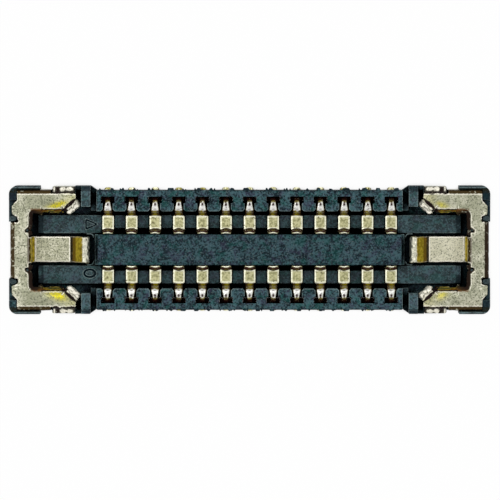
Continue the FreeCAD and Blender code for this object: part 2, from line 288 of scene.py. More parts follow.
def smoothRise(value, low, high):
    # 0 below low, 1 above high, 3 t squared minus 2 t cubed between
    t = np.clip((value - low) / (high - low), 0, 1)
    return t * t * (3 - 2 * t)


def band(value, low, high, soft=0.010):
    # 1 between low and high, falling to 0 over the soft distance outside
    return smoothRise(value, low - soft, low) * (1 - smoothRise(value, high, high + soft))


def addPiece(name, mesh, materials, slot, *nodes):
    for mat in materials:
        mesh.materials.append(mat)
    piece = linked(name, mesh)
    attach(piece, "root")
    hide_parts(*nodes)


def readVerts(mesh, what="co"):
    values = np.zeros(len(mesh.vertices) * 3)
    mesh.vertices.foreach_get(what, values)
    return values.reshape(-1, 3)


def writeCoords(mesh, co):
    mesh.vertices.foreach_set("co", np.ascontiguousarray(co, np.float32).ravel())
    mesh.update()


def setAttribute(mesh, name, values):
    layer = mesh.attributes.new(name, "FLOAT", "POINT")
    layer.data.foreach_set("value", np.ascontiguousarray(values, np.float32))


def boxOf(node):
    # the node's lowest and highest corners in millimetres
    return [np.array(corner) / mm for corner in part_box(node)]


def gridFaces(rows, cols, around):
    # quads between neighbouring rings, each ring closed; the last ring joins the first if around
    r = np.arange(rows if around else rows - 1)[:, None]
    c = np.arange(cols)[None, :]
    below = (r + 1) % rows
    after = (c + 1) % cols
    quads = np.stack([r * cols + c, r * cols + after, below * cols + after, below * cols + c], -1)
    return quads.reshape(-1, 4).tolist()


def tubeMesh(name, rings, around=False):
    # one closed ring of points for each station; open ends are closed by a fan to their middle
    rows, cols = rings.shape[:2]
    verts = rings.reshape(-1, 3)
    faces = gridFaces(rows, cols, around)
    if not around:
        verts = np.vstack([verts, rings[[0, -1]].mean(axis=1)])
        i = np.arange(cols)
        after = (i + 1) % cols
        last = (rows - 1) * cols
        faces += np.stack([np.full(cols, rows * cols), after, i], -1).tolist()
        faces += np.stack([np.full(cols, rows * cols + 1), last + i, last + after], -1).tolist()
    mesh = bpy.data.meshes.new(name)
    mesh.from_pydata(verts.tolist(), [], faces)
    mesh.polygons.foreach_set("use_smooth", np.ones(len(faces), bool))
    return mesh


def waves(co, size, seed, count=12, spread=(0.6, 1.5), level=5):
    # a soft random field: sines in random directions added up, mostly between -1 and 1
    dice = np.random.default_rng(seed)
    ways = dice.normal(size=(count, co.shape[1]))
    ways *= (2 * math.pi / size) / np.linalg.norm(ways, axis=1)[:, None] * dice.uniform(*spread, (count, 1))
    return np.sin(co @ ways.T + dice.uniform(0, 2 * math.pi, count)).sum(axis=1) / level


def most(first, *others):
    # the largest of several fields at each place
    for other in others:
        first = np.maximum(first, other)
    return first


def strip(value, start, spec):
    # a band between two distances past start, with its softness and strength
    near, far, soft, share = spec
    return band(value, start + near, start + far, soft) * share


plasticSet = {
    "dark": (0.001, 0.008, 0.013),
    "light": (0.060, 0.128, 0.148),
    "violet": (0.066, 0.060, 0.120),
    "teal": (0.004, 0.110, 0.092),
    # the pale edge colour is painted as a highlight on edges, the marks' lips and the studs
    "edge": (0.230, 0.310, 0.310),
    "fleck": (0.150, 0.210, 0.215),
    "hueShare": 0.30,
    # the rails down in the grooves and the pillars beside the lugs are paler than the walls
    "railLevel": (0.15 * mm, 0.22 * mm),
    "pillar": ((2.36 * mm, 2.50 * mm), (0.64 * mm, 0.86 * mm)),
    "paleShare": 0.16,
    # the middle island is a little darker and calmer
    "islandHalf": 0.215 * mm,
    "islandLow": 0.30 * mm,
    "islandShare": 0.20,
    # painted shade: the near-black matte that deep slots and recesses are blended to
    "recessShade": (0.0003, 0.0006, 0.0009),
    "rough": 0.50,
    "specular": 0.10,
    "cavityReach": 0.30 * mm,
    "cavityRange": (0.43, 0.62),
    # beyond these the outer edges and the ends are darker, a painted shade
    "wallEdge": 0.862 * mm,
    "endEdge": 3.05 * mm,
    # painted shade on the ends' side ledge, dark and olive, with a painted highlight as a pale line on its
    # outer side
    "ledge": (0.850 * mm, 0.912 * mm),
    "ledgeShade": (0.008, 0.010, 0.005),
    "ledgeLine": (0.922 * mm, 0.932 * mm),
    "cloud": 0.16 * mm,
    "speck": 0.030 * mm,
    # the flecks' and hues' size as shares of the speck and the cloud
    "fleckSize": 0.55,
    "hueSize": 0.8,
    # how much the cloud counts beside the speck, on the faces and on the edges' painted highlight
    "cloudShare": 0.35,
    "edgeCloud": 0.4,
    # the noise levels between which each tone comes in
    "lightLevels": (0.44, 0.58),
    "fleckLevels": (0.62, 0.70),
    "fleckShare": 0.7,
    "violetLevels": (0.54, 0.64),
    "tealLevels": (0.38, 0.47),
    "edgeLevels": (0.36, 0.54),
    "darkLevels": (0.56, 0.70),
    "darkShare": 0.8,
    "ledgeLevels": (0.50, 0.66),
    "lineLevels": (0.30, 0.55),
    "lineShare": 0.6,
    "soft": 0.02 * mm,
    "bump": (0.004 * mm, 0.7),
}


def makePlastic(name, s, edge):
    mat = bpy.data.materials.new(name)
    net = Net(mat)
    place = net.place()
    cloud = net.noise(place, s["cloud"], 4, 0.6)
    speck = net.noise(place, s["speck"], 3, 0.7, 0.15)
    fleck = net.noise(place, s["speck"] * s["fleckSize"], 1, 0.5)
    hue = net.noise(place, s["cloud"] * s["hueSize"], 3, 0.6, 0.5)
    patches = cloud * s["cloudShare"] + speck * (1 - s["cloudShare"])
    color = net.mix(patches.over(*s["lightLevels"]), s["dark"], s["light"])
    # painted highlight: sparse bright flecks standing for small glints
    color = net.mix(fleck.over(*s["fleckLevels"]) * s["fleckShare"], color, s["fleck"])
    color = net.mix(hue.over(*s["violetLevels"]) * s["hueShare"], color, s["violet"])
    color = net.mix(hue.under(*s["tealLevels"]) * s["hueShare"], color, s["teal"])
    # painted highlight: the edges are lightened in blotches towards the pale edge colour
    if edge:
        edgeHighlight = speck * (1 - s["edgeCloud"]) + cloud * s["edgeCloud"]
        color = net.mix(edgeHighlight.over(*s["edgeLevels"]), color, s["edge"])
    x, y, z = net.split(place)
    across, depth, soft = abs(x), abs(y), s["soft"]
    onPillar = across.between(*s["pillar"][0], soft) * depth.between(*s["pillar"][1], soft)
    pale = z.between(*s["railLevel"], soft * 2).largest(onPillar)
    color = net.mix(pale * s["paleShare"], color, s["fleck"])
    onIsland = depth.under(s["islandHalf"], s["islandHalf"] + soft)
    onIsland = onIsland * z.over(s["islandLow"], s["islandLow"] + soft)
    color = net.mix(onIsland * s["islandShare"], color, s["dark"])
    # painted shade: the outer walls' edges and the ends darkened in blotches
    outside = depth.over(s["wallEdge"], s["wallEdge"] + soft)
    outside = outside.largest(across.over(s["endEdge"], s["endEdge"] + soft))
    color = net.mix(outside * cloud.under(*s["darkLevels"]) * s["darkShare"], color, s["dark"])
    # painted shade on the ends' side ledge and a painted highlight line beside it
    atEnd = across.over(s["endEdge"] - soft, s["endEdge"])
    ledge = atEnd * depth.between(*s["ledge"], soft / 5) * speck.under(*s["ledgeLevels"])
    color = net.mix(ledge, color, s["ledgeShade"])
    line = atEnd * depth.between(*s["ledgeLine"], soft / 5) * speck.over(*s["lineLevels"])
    color = net.mix(line * s["lineShare"], color, s["edge"])
    # painted shade: deep in slots and recesses the plastic is blended to a near-black matte
    openness = net.cavity(s["cavityReach"])
    values = {
        "Base Color": color,
        "Roughness": s["rough"],
        "Specular IOR Level": s["specular"],
        "Normal": net.bump(speck + cloud * 2, *s["bump"]),
    }
    body = net.add("ShaderNodeBsdfPrincipled", None, values)
    recessShade = net.add("ShaderNodeBsdfDiffuse", None, {"Color": s["recessShade"]})
    net.finish(net.blendShaders(openness.over(*s["cavityRange"]), recessShade, body))
    return mat


guardSet = {
    # the white is a painted highlight, the yellow and the gold painted reflections, and the brown, the dark
    # orange gold and the near black painted shade
    "plate": (0.34, 0.345, 0.245),
    "darkSpot": (0.11, 0.115, 0.075),
    "pale": (0.55, 0.54, 0.42),
    "dull": (0.25, 0.255, 0.170),
    "white": (0.92, 0.88, 0.76),
    "yellow": (0.50, 0.44, 0.02),
    "gold": (0.30, 0.220, 0.012),
    "goldLight": (0.56, 0.425, 0.035),
    "brown": (0.040, 0.026, 0.010),
    "rust": (0.150, 0.062, 0.006),
    "grime": (0.009, 0.003, 0.003),
    "rough": 0.28,
    "roughSpan": 0.15,
    "specular": 0.06,
    "bump": (0.004 * mm, 0.6),
    "speck": 0.022 * mm,
    "grainSize": 2.4,
    "cloud": 0.16 * mm,
    # the noise levels between which each tone comes in
    "cloudShare": 0.6,
    "paleLevels": (0.42, 0.62),
    "dullTone": 0.7,
    "pitLevels": (0.36, 0.50),
    "pitShare": 0.9,
    "grainyLevels": (0.44, 0.54),
    "grainyShare": 0.5,
    "yellowLevels": (0.36, 0.46),
    "goldLevels": (0.40, 0.60),
    "brownLevels": (0.56, 0.74),
    "shadedGoldLevels": (0.36, 0.50),
    "whiteLevels": (0.30, 0.44),
    "paintedShadeLevels": (0.62, 0.76),
    "paintedDull": 0.96,
    "rimDull": 0.5,
    "voxel": 0.0095,
    "merge": 0.0001,
    "wave": 0.0035,
    "plateTurns": 2,
    "softTurns": 12,
    "lugTurns": 30,
    "lugSwell": 0.012,
    # the opening's edge leans inward below the plate: how far, over which depth and up to which place
    "lipLean": 0.060,
    "lipDepth": (0.004, 0.040),
    "lipSpan": (0.20, 0.46),
    # the soft places: above this level, the tongue's tip, and the ears beside the notches
    "upperLevel": 0.40,
    "tip": ((1.05, 1.08), 0.25),
    "ears": ((0.38, 0.56), 0.16),
    # how far each turn of smoothing pulls a vertex to its neighbours' mean
    "pull": 0.6,
    # size and seed of the waves along the edges, and size, seed and height of the lumps
    "wander": (0.11, 5),
    "lumps": (0.07, 6, 0.008),
    # places in from the end face and from the leg's outer face
    "armIn": 0.106,
    "innerEdge": 0.335,
    "flange": (0.100, 0.605),
    "leg": (0.625, 0.950),
    "legShadeStrip": (0.682, 0.719),
    "latch": (0.460, 0.790),
    "hem": (0.300, 0.470),
    "lugGap": 0.030,
    "legBlobs": ((0.650, 0.032, 0.014, 0.044), (0.774, 0.036, 0.046, 0.036), (0.874, 0.034, 0.054, 0.031)),
    "chamfer": ((0.970, 0.175), (0.790, 0.335)),
    "tongueHalf": 0.1925,
    "root": (0.250, 0.292),
    "goldLine": (0.300, 0.343),
    "pad": (0.355, 0.873),
    "foot": (0.876, 0.915),
    "slope": (0.915, 1.062),
    "glint": (0.965, 1.018),
    "glowAt": (0.700, 0.272),
    # size, seed and height of the two waves that fray the tones
    "jag": (0.05, 8, 0.006),
    "sway": (0.13, 9, 0.007),
    # strips along an arm: start and end past its outer or inner edge, softness and strength
    "armLine": (0.004, 0.012, 0.006, 0.6),
    "armGap": (-0.022, -0.004, 0.003, 1),
    "latchLine": (-0.020, -0.008, 0.004, 0.6),
    "latchGap": (0.001, 0.010, 0.004, 1),
    "hemLine": (-0.010, 0.020, 0.004, 0.8),
    "ridgeLine": (0.026, 0.044, 0.004, 1),
    "roll": (0.008, 0.012),
    "rollEnd": (0.030, 0.042),
    # the pad's bright rims: how far in from its sides, its outer and its inner end they begin and stop
    "padRims": ((0.024, 0.016), (0.012, 0.020), (0.018, 0.010)),
    "rimBulge": (0.05, 0.13),
    "rimFade": (0.92, 0.95),
    "lugTop": (0.030, 0.20, 0.006),
    "lugCrease": (0.062, 0.018, 0.3),
    "lugLens": 0.62,
    # the glow's reach along and across the rear and the front arm, and how far its line turns
    "glowReach": (0.14, 0.046, 0.066),
    "glowTurn": 0.30,
    "ridge": (0.560, 0.640, 0.780),
    "dullFrom": (0.12, 0.28),
    "dullTo": (0.55, 0.75),
    # how strong the glow, the dull arms, the pad's tones and the end face's tones are
    "glowShare": 1.0,
    "dullShare": 1.0,
    "padGrain": 1.0,
    "padBright": 0.06,
    "padYellow": 0.05,
    "endBrown": 0.98,
    "endShade": 0.0,
}


def finishMetal(net, s, color, speck, paintedLight):
    # the painted shade, reflections and highlights are duller than the plating they cover
    values = {
        "Base Color": color,
        "Metallic": 1 - paintedLight * s["paintedDull"],
        "Roughness": s["rough"] + speck * s["roughSpan"],
        "Specular IOR Level": s["specular"],
        "Normal": net.bump(speck, *s["bump"]),
    }
    net.finish(net.add("ShaderNodeBsdfPrincipled", None, values))


def makeGuardMetal(s):
    mat = bpy.data.materials.new("satinPlating")
    net = Net(mat)
    place = net.place()
    speck = net.noise(place, s["speck"], 2, 0.65)
    cloud = net.noise(place, s["cloud"], 3, 0.6)
    grain = net.noise(place, s["speck"] * s["grainSize"], 2, 0.6)
    patches = cloud * s["cloudShare"] + grain * (1 - s["cloudShare"])
    color = net.mix(patches.over(*s["paleLevels"]), s["plate"], s["pale"])
    color = net.mix(net.attribute("dull") * s["dullTone"], color, s["dull"])
    color = net.mix(speck.under(*s["pitLevels"]) * s["pitShare"], color, s["darkSpot"])
    grainy = net.attribute("grainy") * speck.under(*s["grainyLevels"]) * s["grainyShare"]
    color = net.mix(grainy, color, s["darkSpot"])
    # painted light: yellow and gold are painted reflections, brown, orange gold and near black painted
    # shade, white a painted highlight
    color = net.mix(net.attribute("yellow") * speck.over(*s["yellowLevels"]), color, s["yellow"])
    gold = net.attribute("gold")
    golds = net.mix(grain.over(*s["goldLevels"]), s["gold"], s["goldLight"])
    color = net.mix(gold, color, golds)
    color = net.mix(net.attribute("brown") * grain.under(*s["brownLevels"]), color, s["brown"])
    rust = net.attribute("rust")
    grime = net.attribute("grime")
    color = net.mix(rust * grain.over(*s["shadedGoldLevels"]), color, s["rust"])
    white = net.attribute("white") * speck.over(*s["whiteLevels"])
    color = net.mix(white, color, s["white"])
    color = net.mix(grime * grain.under(*s["paintedShadeLevels"]), color, s["grime"])
    # the painted highlight on the rims is half as dull as the painted gold, orange gold and shade
    finishMetal(net, s, color, speck, gold.largest(rust).largest(grime).largest(white * s["rimDull"]))
    return mat


contactSet = {
    "stock": 0.06,
    "legRow": 0.755,
    "crownSpan": 0.16,
    "springLean": 0.045,
    "seatLevel": 0.19,
    "tipLine": 0.261,
    "pointProud": 0.003,
    "pointHeight": 0.14,
    "lip": 0.06,
    "radii": (0.034, 0.088, 0.040, 0.050, 0.045, 0.05),
    "neckHalf": 0.060,
    "headHalf": 0.038,
    "padHalf": 0.088,
    "tipHalf": 0.074,
    "barbHalf": 0.0975,
    "padEnd": 0.498,
    "dimple": (0.672, 0.016, 0.010),
    "pointBow": 0.010,
    "step": 0.012,
    "corner": 0.013,
    "flats": (-0.75, -0.5, -0.25, 0, 0.25, 0.5, 0.75),
    # where the half width changes: places out from the housing's middle and levels over the board
    "padFade": 0.016,
    "tipRise": (0.20, 0.245),
    "barb": ((0.085, 0.095), (0.235, 0.25)),
    "tailRound": (0.045, 0.45),
    # the contact point is nearer the middle than this, and the head and the neck are higher
    "pointSide": 0.4,
    "headLevel": 0.3,
    # size and height of the waves that fray the tones, and how strongly they fray the neck
    "fray": (0.05, 0.012),
    "neckFray": 9,
    # places and levels of the tones, as start and end or as place and reach
    "arch": (0.291, 0.026),
    "padRims": ((0.66, 0.84), (0.318, 0.332), (0.030, 0.014)),
    "headWhite": (0.582, 0.698, 0.012),
    "headSides": (0.72, 0.92),
    "pointLine": (0.259, 0.265),
    "pointSides": (0.84, 0.98),
    "streak": (0.290, 0.008),
    "streakSides": (0.20, 0.70),
    "arc": (0.724, 0.732, 0.005),
    "arcSides": (0.6, 0.9),
    "neckGold": (0.500, 0.592, 0.006),
    "neckBrown": (0.500, 0.580, 0.006),
    "neckSides": ((0.15, 0.60), (0.35, 0.75)),
    "crownBrown": (0.704, 0.718),
    "headEdge": (0.80, 0.95),
    "headSpot": (0.602, 0.010, 0.022),
    "footLevels": ((0.255, 0.270), (0.345, 0.355)),
    "tailStart": (0.79, 0.81),
    "tailSides": (0.62, 0.90),
    # rim and white are painted highlights, gold a painted reflection and brown a painted shade
    "pad": (0.50, 0.48, 0.27),
    "grain": (0.24, 0.235, 0.11),
    "rim": (0.88, 0.87, 0.68),
    "white": (0.74, 0.74, 0.70),
    "gold": (0.270, 0.205, 0.005),
    "brown": (0.034, 0.008, 0.005),
    "tail": (0.40, 0.36, 0.09),
    "tailLight": (0.90, 0.88, 0.60),
    "rough": 0.24,
    "roughSpan": 0.12,
    "specular": 0.06,
    "bump": (0.004 * mm, 0.6),
    "speck": 0.022 * mm,
    "grainSize": 1.7,
    # the noise levels between which each tone comes in
    "grainLevels": (0.42, 0.56),
    "grainShare": 0.8,
    "tailLevels": (0.44, 0.56),
    "rimLevels": (0.30, 0.42),
    "brownLevels": (0.60, 0.76),
    "pitLevels": (0.30, 0.37),
    "pitShare": 0.7,
    "paintedDull": 0.97,
}


def makeContactMetal(s):
    mat = bpy.data.materials.new("goldPlating")
    net = Net(mat)
    place = net.place()
    speck = net.noise(place, s["speck"], 2, 0.65)
    grain = net.noise(place, s["speck"] * s["grainSize"], 2, 0.6)
    # pale grainy pads; painted highlights as their bright rims and as white heads and points; painted
    # reflection as dark gold necks; painted shade in brown
    color = net.mix(grain.under(*s["grainLevels"]) * s["grainShare"], s["pad"], s["grain"])
    gold = net.attribute("gold")
    brown = net.attribute("brown")
    color = net.mix(gold, color, s["gold"])
    tails = net.mix(grain.over(*s["tailLevels"]), s["tail"], s["tailLight"])
    color = net.mix(net.attribute("tail"), color, tails)
    color = net.mix(net.attribute("rim") * grain.over(*s["rimLevels"]), color, s["rim"])
    color = net.mix(net.attribute("white"), color, s["white"])
    color = net.mix(brown * speck.under(*s["brownLevels"]), color, s["brown"])
    color = net.mix(grain.under(*s["pitLevels"]) * s["pitShare"], color, s["brown"])
    finishMetal(net, s, color, speck, gold.largest(brown))
    return mat


plastic = makePlastic("mouldedPolymer", plasticSet, False)
plasticEdge = makePlastic("mouldedPolymerEdge", plasticSet, True)
# the marks' ridges are plain dark, a painted shade
markSet = {**plasticSet, "specular": 0.02}
markSet.update(dict.fromkeys(("light", "fleck", "violet", "teal"), plasticSet["dark"]))
plasticDark = makePlastic("mouldedPolymerDark", markSet, False)
guardMetal = makeGuardMetal(guardSet)
contactMetal = makeContactMetal(contactSet)

print("contacts")


def bentRoute(corners, radii, turnStep=0.22):
    # straight runs joined by tangent arcs: distance, point and heading at each run's end and step of an arc
    corners = np.array(corners, float)
    heading = math.atan2(*(corners[1] - corners[0])[::-1])
    stations = [(0.0, *corners[0], heading)]
    for a, b, c, radius in zip(corners[:-2], corners[1:-1], corners[2:], radii):
        u = (b - a) / np.linalg.norm(b - a)
        v = (c - b) / np.linalg.norm(c - b)
        turn = math.atan2(u[0] * v[1] - u[1] * v[0], u @ v)
        start = b - u * radius * math.tan(abs(turn) / 2)
        centre = start + math.copysign(radius, turn) * np.array([-u[1], u[0]])
        far, *last = stations[-1][:3]
        far += math.dist(start, last)
        spoke = start - centre
        for w in np.linspace(0, turn, max(2, math.ceil(abs(turn) / turnStep)) + 1):
            y = centre[0] + spoke[0] * math.cos(w) - spoke[1] * math.sin(w)
            z = centre[1] + spoke[0] * math.sin(w) + spoke[1] * math.cos(w)
            stations.append((far + radius * abs(w), y, z, heading + w))
        heading += turn
    far, *last = stations[-1][:3]
    stations.append((far + math.dist(corners[-1], last), *corners[-1], heading))
    return np.array(stations).T


def oblongSection(steps, flats):
    # the ring of an oblong with round corners: side, top or bottom, and the corner's turn as two parts
    ring = []
    for quarter in range(4):
        side = 1 if quarter in (0, 3) else -1
        level = 1 if quarter in (0, 1) else -1
        for turn in np.linspace(0, math.pi / 2, steps) + quarter * math.pi / 2:
            ring.append((side, level, math.cos(turn), math.sin(turn)))
        if quarter in (0, 2):
            ring += [(share * (1 if quarter == 2 else -1), level, 0, level) for share in flats]
    return np.array(ring[::-1])


def contactAlong(s, length):
    # the rings' places on the route: at its turns, every step and closer in the rounded ends
    ends = np.array([0, 0.12, 0.4, 1.0]) * s["corner"]
    steps = np.arange(s["step"], length[-1] - s["step"], s["step"])
    along = np.unique(np.round(np.concatenate([length, steps, ends, length[-1] - ends]), 5))
    # each end face has a smaller ring inside its rounded edge
    return np.concatenate([along[:1], along, along[-1:]])


def contactHalf(s, y, z, springTop, tailEnd):
    # half the strip's width: neck, head, pad, point, barb and the tail's rounded end
    neck = s["neckHalf"]
    half = np.full(len(y), neck)
    half += (s["headHalf"] - neck) * smoothRise(y, springTop, s["legRow"] - 0.05) * (z > s["headLevel"])
    half += (s["padHalf"] - neck) * (1 - smoothRise(y, s["padEnd"], s["padEnd"] + s["padFade"]))
    half += (s["tipHalf"] - s["padHalf"]) * smoothRise(z, *s["tipRise"]) * (y < s["pointSide"])
    low, high = s["barb"]
    barb = smoothRise(z, *low) * (1 - smoothRise(z, *high)) * (y > 0.7)
    half += (s["barbHalf"] - neck) * barb
    reach, blunt = s["tailRound"]
    tail = np.clip((tailEnd - y) / reach, 0, 1)
    return half * np.where(z < 0.07, blunt + (1 - blunt) * np.sqrt(1 - (1 - tail) ** 2), 1)


def contactRings(s, top, tailEnd):
    # the oblong section carried along the bent route, and the tones on it
    tight = s["stock"] / 2
    crown = top - tight
    springTop = s["legRow"] - s["crownSpan"]
    point = s["tipLine"] + s["pointProud"]
    pointLevel = s["seatLevel"] + s["pointHeight"]
    corners = [
        (tailEnd, tight),
        (s["legRow"], tight),
        (s["legRow"], crown),
        (springTop, crown),
        (springTop - s["springLean"], s["seatLevel"]),
        (s["tipLine"], s["seatLevel"]),
        (point, pointLevel),
        (point, pointLevel + s["lip"]),
    ]
    length, routeY, routeZ, heading = bentRoute(corners, s["radii"])
    along = contactAlong(s, length)
    shrink = np.ones((len(along), 1))
    shrink[[0, -1]] = 0.4
    y = np.interp(along, length, routeY)
    z = np.interp(along, length, routeZ)
    way = np.interp(along, length, heading)
    half = contactHalf(s, y, z, springTop, tailEnd)
    # both ends pull in over the corner radius, so that the cut edges are rounded too
    near = np.clip(s["corner"] - np.minimum(along, length[-1] - along), 0, s["corner"])
    inset = s["corner"] - np.sqrt(s["corner"] ** 2 - near ** 2)
    half = (half - inset)[:, None]
    thick = (tight - inset)[:, None]
    side, level, turnX, turnZ = oblongSection(4, s["flats"]).T
    across = (side * (half - s["corner"]) + turnX * s["corner"]) * shrink
    up = (level * (thick - s["corner"]) + turnZ * s["corner"]) * shrink
    share = across / half
    y = y[:, None]
    z = z[:, None]
    # a small dimple in the head, and a contact point whose sides fall back from its middle
    place, reach, depth = s["dimple"]
    dip = np.exp(-((y - place) / reach) ** 2 - (across / reach) ** 2) * (z > s["headLevel"])
    up = up - depth * dip
    bow = s["pointBow"] * smoothRise(z, 0.21, 0.30) * (y < s["pointSide"])
    yy = y - np.sin(way)[:, None] * up - bow * share ** 2
    zz = z + np.cos(way)[:, None] * up
    flat = np.abs(np.cos(way))[:, None]
    # every contact has a seed of its own, taken from its height
    seed = int(top * 1e5) % 97
    marks = contactTones(s, across, yy, zz, share, yy + bow * share ** 2, flat, dip, seed)
    return np.stack([across, yy, zz], -1), marks


def contactTones(s, across, yy, zz, share, bowed, flat, dip, seed):
    # how far each tone covers each point of the rings; bowed is the place before the sides fell back
    side = np.abs(share)
    size, high = s["fray"]
    plan = np.stack([across.ravel(), yy.ravel()], -1)
    ragged = waves(plan, size, seed).reshape(across.shape) * high
    onPoint = yy < s["pointSide"]
    onHead = (zz > 0.40) * (yy > 0.55)
    # the arch over the seat, a painted shadow, is a lens, deepest at the middle
    start, rise = s["arch"]
    arch = start + rise * (1 - side ** 2)
    onPad = (yy < s["padEnd"] + 0.01) * (yy > arch)
    sides, front, (near, far) = s["padRims"]
    back = smoothRise(yy, s["padEnd"] - near, s["padEnd"] - far) * 0.85
    # painted highlight: bright rims round the pad and along the point's edge
    rim = onPad * most(smoothRise(side, *sides), 1 - smoothRise(yy, *front), back) * flat
    tip = (1 - smoothRise(bowed, *s["pointLine"])) * (1 - smoothRise(side, *s["pointSides"]))
    rim = np.maximum(rim, (zz > s["headLevel"]) * tip)
    # painted highlight: the head's white
    white = onHead * band(yy + ragged, *s["headWhite"]) * (1 - smoothRise(side, *s["headSides"]))
    place, reach = s["streak"]
    streak = np.exp(-((bowed - place) / reach) ** 2) * (1 - smoothRise(side, *s["streakSides"]))
    arc = onHead * band(yy + 0.020 * side ** 2, *s["arc"]) * (1 - smoothRise(side, *s["arcSides"]))
    # painted reflection in gold: a band on the neck, a streak through the arch and an arc on the head
    gold = most(band(yy, *s["neckGold"]), streak, arc)
    crown = smoothRise(yy + ragged, *s["crownBrown"]) * (zz > 0.2) * (yy < 0.80) * (1 - arc * 0.9)
    right, left = s["neckSides"]
    fray = ragged * s["neckFray"]
    neck = np.maximum(smoothRise(share + fray, *right), smoothRise(fray - share, *left))
    place, reach, wide = s["headSpot"]
    darkSpot = onHead * np.exp(-((yy - place) / reach) ** 2 - (across / wide) ** 2)
    # the arch's painted shadow shows on the bend at the point's foot and on its cut end
    foot, cut = s["footLevels"]
    foot = np.maximum(1 - smoothRise(zz, *foot), smoothRise(zz, *cut))
    archSpan = smoothRise(bowed, *s["pointLine"]) * (1 - smoothRise(yy - arch, -0.006, 0.002))
    tail = smoothRise(yy, *s["tailStart"])
    # painted shade in brown: the crown's far end, one side of the neck, the head's edges, the dimple, a
    # dark spot in the head's highlight, the arch and the tail's sides
    brown = most(
        crown,
        band(yy, *s["neckBrown"]) * neck * 0.9,
        onHead * smoothRise(side, *s["headEdge"]) * 0.9,
        dip * 1.8,
        darkSpot * 0.7,
        onPoint * archSpan * foot * (1 - streak * 0.65) * 1.3,
        tail * smoothRise(side, *s["tailSides"]) * 0.8,
    )
    return {"rim": rim, "white": white, "gold": gold, "brown": np.clip(brown, 0, 1), "tail": tail}


def makeContacts(s):
    for row, turned in (("rear", 1), ("front", -1)):
        for number in range(1, 14):
            node = f"contact_{row}_{number:02d}"
            low, high = boxOf(node)
            reach = high[1] if turned > 0 else -low[1]
            rings, marks = contactRings(s, high[2] - rng.uniform(0, 0.004), reach - rng.uniform(0, 0.004))
            rings = rings * [turned, turned, 1] + [(low[0] + high[0]) / 2, 0, 0]
            mesh = tubeMesh(node, np.clip(rings, low, high) * mm)
            for name, values in marks.items():
                ends = values[[0, -1]].mean(axis=1)
                setAttribute(mesh, name, np.concatenate([values.ravel(), ends]))
            addPiece(f"{node}_strip", mesh, [contactMetal], "contact", node)


makeContacts(contactSet)

print("guards")


def workCopy(node, merge, flatten):
    # the frame's loose triangles copied in millimetres and welded, with flat neighbours joined if asked
    bm = bmesh.new()
    bm.from_mesh(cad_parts[node].data)
    bmesh.ops.scale(bm, vec=(1 / mm,) * 3, verts=bm.verts)
    bmesh.ops.remove_doubles(bm, verts=bm.verts, dist=merge)
    if flatten:
        bmesh.ops.dissolve_degenerate(bm, dist=1e-4, edges=bm.edges)
        bmesh.ops.dissolve_limit(bm, angle_limit=math.radians(1), verts=bm.verts, edges=bm.edges)
    return bm


def takeMesh(bm, name):
    mesh = bpy.data.meshes.new(name)
    bm.to_mesh(mesh)
    bm.free()
    return mesh


def applied(mesh, kind, settings):
    # the mesh after one modifier of the given kind and settings
    helper = linked("helper", mesh)
    modifier = helper.modifiers.new("work", kind)
    for key, value in settings.items():
        setattr(modifier, key, value)
    graph = bpy.context.evaluated_depsgraph_get()
    result = bpy.data.meshes.new_from_object(helper.evaluated_get(graph))
    bpy.data.objects.remove(helper)
    return result


def neighbourMean(co, edges):
    # for each vertex, the mean place of the vertices that share an edge with it
    total = np.zeros_like(co)
    count = np.bincount(edges.ravel(), minlength=len(co))
    for axis in range(3):
        for a, b in ((0, 1), (1, 0)):
            total[:, axis] += np.bincount(edges[:, a], co[edges[:, b], axis], minlength=len(co))
    return total / np.maximum(count, 1)[:, None]


def guardPlaces(s, co, side, high):
    # how far in from the end face and the leg's face, past the chamfered tip, and the share along it
    inX = high[0] - co[:, 0] * side
    inY = high[1] - np.abs(co[:, 1])
    a, b = (np.array(point) for point in s["chamfer"])
    length = np.linalg.norm(b - a)
    way = (b - a) / length
    past = (inX - a[0]) * way[1] - (inY - a[1]) * way[0]
    run = ((inX - a[0]) * way[0] + (inY - a[1]) * way[1]) / length
    return inX, inY, past, run


